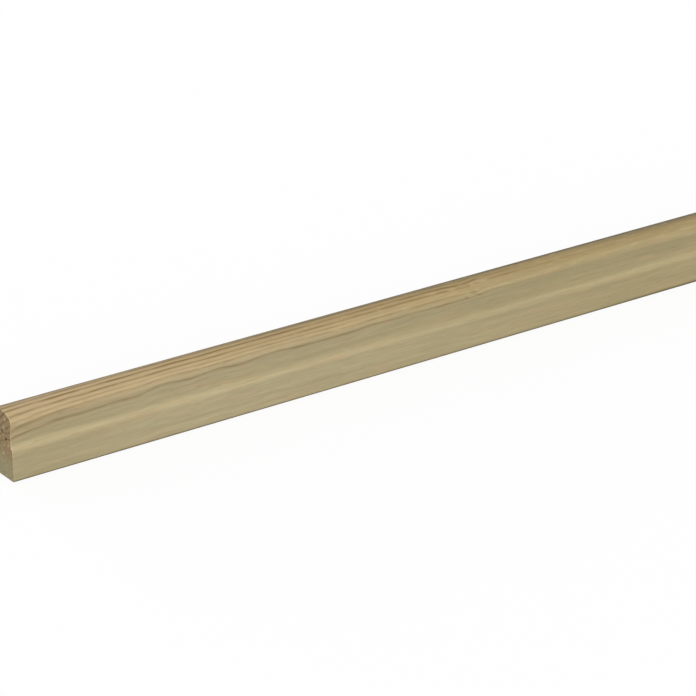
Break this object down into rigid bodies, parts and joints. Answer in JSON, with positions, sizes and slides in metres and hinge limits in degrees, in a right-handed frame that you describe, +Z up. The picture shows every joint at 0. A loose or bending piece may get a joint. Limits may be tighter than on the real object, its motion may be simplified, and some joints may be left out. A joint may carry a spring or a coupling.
{
  "type": "profile moulding",
  "caption": "Long planed pine moulding with a flat lower band, a shallow hollow, a rounded nose and a crowned top, for trimming edges and walls.",
  "frame": {"origin": "middle of the bottom edge, half way along the length and through the thickness", "axes": "X along the length, the moulded face looks along -Y and the plain back along +Y, +Z up from the bottom edge to the crowned top"},
  "size_m": [2.4, 0.018, 0.044],
  "materials": {
    "pine": "planed, unfinished, pale greenish pine"
  },
  "bodies": {
    "root": {"moulding": "pine"}
  },
  "joints": []
}
